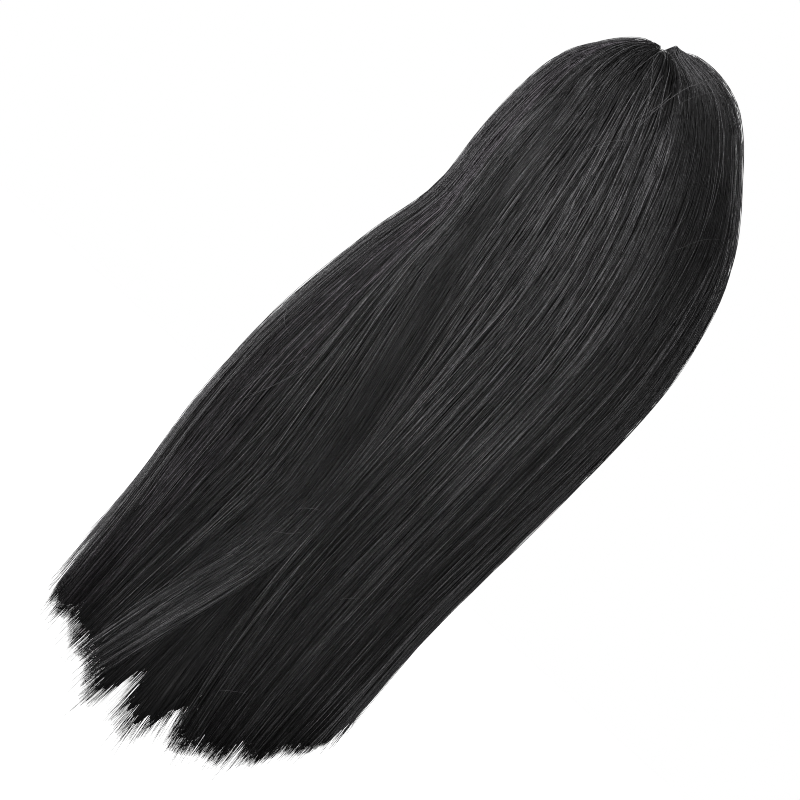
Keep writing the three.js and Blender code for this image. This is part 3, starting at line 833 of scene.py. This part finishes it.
def make_locks():
    """One piece for each lock of the frame."""
    starts = 0.0
    for number, (node, ends) in enumerate(LOCKS):
        rng = np.random.default_rng(SEED + 1 + number)
        build = Build()
        width = ends - starts
        add_strands(build, rng, starts, ends, int(LONG_STRANDS * width), LONG_STEPS)
        add_strands(build, rng, starts, ends, int(SHORT_STRANDS * width), SHORT_STEPS, short=True)
        if starts == 0:
            add_strands(build, rng, 0, FRONT_EDGE, FRONT_STRANDS, LONG_STEPS, at_front=True)
        if ends == 1:
            add_strands(build, rng, 1 - FRONT_EDGE, 1, FRONT_STRANDS, LONG_STEPS, at_front=True)
        add_mass(build, rng, starts, ends)
        look = LEFT_LOOK if ends < PLUM_ENDS else STRAND_LOOK
        piece = build.finish(node + "_strands", [look, MASS_LOOK])
        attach(piece, "root")
        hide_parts(node)
        starts = ends


# Loose hairs

def near_back(x, z):
    """Share and level of the hair's surface at the back nearest to a place seen from behind."""
    away = (OUTER[..., 0] - x) ** 2 + (OUTER[..., 2] - z) ** 2 + np.where(OUTER[..., 1] < 0, np.inf, 0)
    i, j = np.unravel_index(away.argmin(), away.shape)
    i = min(max(i, 1), FIELD_ACROSS - 2)
    j = min(max(j, 1), len(FIELD_LEVELS) - 2)
    across = (OUTER[i + 1, j] - OUTER[i - 1, j]) / 2
    along = (OUTER[i, j + 1] - OUTER[i, j - 1]) / 2
    missing = [x - OUTER[i, j, 0], z - OUTER[i, j, 2]]
    step = np.linalg.solve([[across[0], along[0]], [across[2], along[2]]], missing)
    step = np.clip(step, -1, 1)
    return (i + step[0]) / (FIELD_ACROSS - 1), (j + step[1]) * FIELD_STEP


def seen_path(x0, z0, x1, z1, bow):
    """Shares and levels along a line seen from behind, bowed sideways."""
    away = np.array([z1 - z0, x0 - x1]) / math.hypot(x1 - x0, z1 - z0) * bow
    x = mix(x0, x1, LOOSE_STEPS) + away[0] * LOOSE_BOW
    z = mix(z0, z1, LOOSE_STEPS) + away[1] * LOOSE_BOW
    return [near_back(*place) for place in zip(x, z)]


def loose_ends(rng, share, starts, turn, run):
    """Share and level of both ends of hairs that start at some shares."""
    count = len(share)
    level = rng.uniform(*starts, count)
    end_share = share + rng.normal(0, turn, count)
    return np.stack([share, level, end_share, level + rng.uniform(*run, count)], 1)


def random_hairs(rng):
    """Shares, levels and lifts along hairs that lie across the others or along them."""
    share = rng.uniform(0, 1, ACROSS_HAIRS)
    across = loose_ends(rng, share, ACROSS_STARTS, ACROSS_TURN, ACROSS_RUN)
    at_left = rng.random(ALONG_HAIRS) < LEFT_PART
    share = rng.normal(SIDE_LEFT, SIDE_SPREAD, ALONG_HAIRS)
    share = np.where(at_left, share, rng.uniform(0, 1, ALONG_HAIRS))
    at_right = rng.random(ALONG_HAIRS) < RIGHT_PART
    share = np.where(at_right, rng.normal(SIDE_RIGHT, SIDE_SPREAD, ALONG_HAIRS), share)
    along = loose_ends(rng, share, ALONG_STARTS, ALONG_TURN, ALONG_RUN)
    ends = np.concatenate([across, along])
    bows = [rng.normal(0, ACROSS_BOW, ACROSS_HAIRS), rng.normal(0, ALONG_BOW, ALONG_HAIRS)]
    bows = np.concatenate(bows) / GIRTH
    path_share = mix(ends[:, :1], ends[:, 2:3], LOOSE_STEPS) + bows[:, None] * LOOSE_BOW
    path_level = mix(ends[:, 1:2], ends[:, 3:], LOOSE_STEPS)
    return path_share, path_level, rng.uniform(*RANDOM_LIFT, len(ends))[:, None] * LOOSE_BOW


def side_wisps(rng):
    """Shares, levels and lifts along wisps that stand off the sides near the hem."""
    share = np.concatenate([rng.normal(at, WISP_SPREAD, WISPS) for at in WISP_SHARES])[:, None]
    first = rng.uniform(*WISP_STARTS, share.shape)
    last = rng.uniform(*WISP_ENDS, share.shape)
    path_share = share + rng.normal(0, WISP_TURN, share.shape) * LOOSE_STEPS
    lift = rng.uniform(*WISP_LIFT, share.shape) * LOOSE_STEPS ** 2
    return path_share, mix(first, last, LOOSE_STEPS), lift


def seen_hairs(rng):
    """Shares, levels and lifts along the hairs seen on the back."""
    paths = np.array([seen_path(*hair) for hair in LOOSE_HAIRS])
    return paths[..., 0], paths[..., 1], rng.uniform(*SEEN_LIFT, len(paths))[:, None] * LOOSE_BOW


def make_loose_hairs():
    """Single hairs that lie loose on the others."""
    rng = np.random.default_rng(SEED + 50)
    scattered = random_hairs(rng)
    wisps = side_wisps(rng)
    seen = seen_hairs(rng)
    share, level, lift = (np.concatenate(parts) for parts in zip(seen, scattered, wisps))
    points, outs = in_hair(share, level, 0.0, LOOSE_LIFT + lift)
    count = len(share)
    radii = rng.uniform(*LOOSE_RADIUS, count)[:, None] * (1 - LOOSE_THIN * LOOSE_STEPS ** 4)
    tones = np.repeat(rng.uniform(*LOOSE_TONES, count)[:, None], len(LOOSE_STEPS), 1)
    build = Build()
    add_tubes(build, points, outs, radii, tones, rng.uniform(0, math.tau, count))
    piece = build.finish("loose_hairs", [STRAND_LOOK])
    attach(piece, "root")


# Cap

def cap_grid(grow):
    """Rows of points from below the crown to the rim, on the head form grown by some millimetres."""
    turn = np.arange(CAP_COLUMNS) * 360 / CAP_COLUMNS
    rim = np.interp(np.minimum(turn, 360 - turn), RIM_TURN, RIM_HEIGHT) - HEAD_CENTRE[2]
    for _ in range(RIM_SMOOTHINGS):
        rim = (np.roll(rim, 1) + 2 * rim + np.roll(rim, -1)) / 4
    rim_tilt = np.arcsin(rim / np.where(rim > 0, HEAD_ABOVE[2], HEAD_BELOW[2]))
    tilt = mix(math.pi / 2, rim_tilt[None, :], (np.arange(1, CAP_ROWS + 1) / CAP_ROWS)[:, None])
    turn = np.radians(turn)[None, :]
    level = np.stack([np.sin(turn) * np.cos(tilt), -np.cos(turn) * np.cos(tilt), np.sin(tilt)], -1)
    sizes = np.where(tilt[..., None] > 0, HEAD_ABOVE, HEAD_BELOW) + grow
    return level * sizes + HEAD_CENTRE


def cap_skin(grow, first, centre):
    """Points, faces, rim and map places of one face of the cap, numbered from first at the crown."""
    grid = cap_grid(grow)
    crown = HEAD_CENTRE + [0, 0, HEAD_ABOVE[2] + np.ravel(grow)[0]]
    number = first + 1 + np.arange(CAP_ROWS * CAP_COLUMNS).reshape(CAP_ROWS, CAP_COLUMNS)
    beside = np.roll(number, -1, axis=1)
    fan = np.stack([np.full(CAP_COLUMNS, first), number[0], beside[0]], -1)
    quads = quads_of(number[:-1], number[1:], beside[1:], beside[:-1])
    turn = np.arange(CAP_COLUMNS) * math.tau / CAP_COLUMNS
    out = CAP_MAP_RADIUS * (np.arange(1, CAP_ROWS + 1) / CAP_ROWS)[:, None]
    disc = np.stack([centre + out * np.sin(turn), 0.5 + 2 * out * np.cos(turn)], -1)
    places = np.concatenate([[[centre, 0.5]], disc.reshape(-1, 2)])
    return np.concatenate([[crown], grid.reshape(-1, 3)]), fan, quads, number[-1], places


def make_cap():
    """Net cap with a turned hem at its rim."""
    hem = CAP_HEM_THICKNESS * (np.arange(1, CAP_ROWS + 1) > CAP_ROWS - CAP_HEM_ROWS)[:, None, None]
    outer, fan, quads, rim, places = cap_skin(CAP_WALL + hem, 0, CAP_MAP_OUTER)
    inner, under_fan, under_quads, under_rim, under_places = cap_skin(0 * hem, len(outer), CAP_MAP_INNER)
    edge = quads_of(rim, under_rim, np.roll(under_rim, -1), np.roll(rim, -1))
    faces = [fan, quads, under_fan[:, ::-1], under_quads[:, ::-1], edge]
    places = np.concatenate([places, under_places])
    build = Build()
    build.add(np.concatenate([outer, inner]), faces, [places[f] for f in faces], 0)
    piece = build.finish("cap_net", [net_material()])
    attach(piece, "root")
    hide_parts("cap")


# Camera, lights and stage

def make_camera():
    """Camera behind the wig, rolled as the photo is."""
    data = bpy.data.cameras.new("camera")
    data.sensor_width = SENSOR_WIDTH
    data.lens = SENSOR_WIDTH * DISTANCE / VIEW_WIDTH
    camera = new_object("camera", data)
    back = Vector((0, math.cos(ELEVATION), math.sin(ELEVATION)))
    level_right = Vector((-1, 0, 0))
    level_up = back.cross(level_right)
    right = level_right * math.cos(ROLL) + level_up * math.sin(ROLL)
    up = level_up * math.cos(ROLL) - level_right * math.sin(ROLL)
    turn = Matrix((right, up, back)).transposed().to_4x4()
    camera.matrix_world = Matrix.Translation(AIM + back * DISTANCE) @ turn
    bpy.context.scene.camera = camera


def make_lights():
    """Soft square lights."""
    for name, place, aim, side, power in LIGHTS:
        data = bpy.data.lights.new(name, "AREA")
        data.shape = "SQUARE"
        data.size = side
        data.energy = power
        light = new_object(name, data)
        light.location = place
        light.rotation_euler = (Vector(aim) - Vector(place)).to_track_quat("-Z", "Y").to_euler()


def make_world():
    """White all round, which the camera sees brighter than it lights."""
    world = bpy.data.worlds.new("studio")
    bpy.context.scene.world = world
    world.use_nodes = True
    nodes, links = world.node_tree.nodes, world.node_tree.links
    seen = nodes["Background"]
    seen.inputs["Color"].default_value = WHITE
    seen.inputs["Strength"].default_value = WORLD_SEEN
    lit = nodes.new("ShaderNodeBackground")
    lit.inputs["Color"].default_value = WHITE
    lit.inputs["Strength"].default_value = WORLD_LIGHT
    path = nodes.new("ShaderNodeLightPath")
    blend = nodes.new("ShaderNodeMixShader")
    links.new(path.outputs["Is Camera Ray"], blend.inputs["Fac"])
    links.new(lit.outputs[0], blend.inputs[1])
    links.new(seen.outputs[0], blend.inputs[2])
    links.new(blend.outputs[0], nodes["World Output"].inputs["Surface"])


def make_floor():
    """Plain pale floor, far below, that throws no light on the hair."""
    corners = [(-1, -1), (1, -1), (1, 1), (-1, 1)]
    points = [(x * FLOOR_HALF, y * FLOOR_HALF, FLOOR_HEIGHT) for x, y in corners]
    mesh = bpy.data.meshes.new("floor")
    mesh.from_pydata(points, [], [(0, 1, 2, 3)])
    material, _, _, shader = new_material("floor")
    shader.inputs["Base Color"].default_value = (0.9, 0.9, 0.9, 1)
    shader.inputs["Emission Color"].default_value = WHITE
    shader.inputs["Emission Strength"].default_value = FLOOR_GLOW
    mesh.materials.append(material)
    floor = new_object("floor", mesh)
    floor.visible_glossy = False
    floor.visible_diffuse = False


make_locks()
make_loose_hairs()
make_cap()
make_camera()
make_world()
make_floor()
make_lights()
bpy.context.scene.view_settings.view_transform = "Standard"
# A narrow pixel filter and no prefilter for the denoiser keep the strands crisp
bpy.context.scene.cycles.filter_width = 1.0
bpy.context.scene.cycles.denoising_prefilter = "NONE"
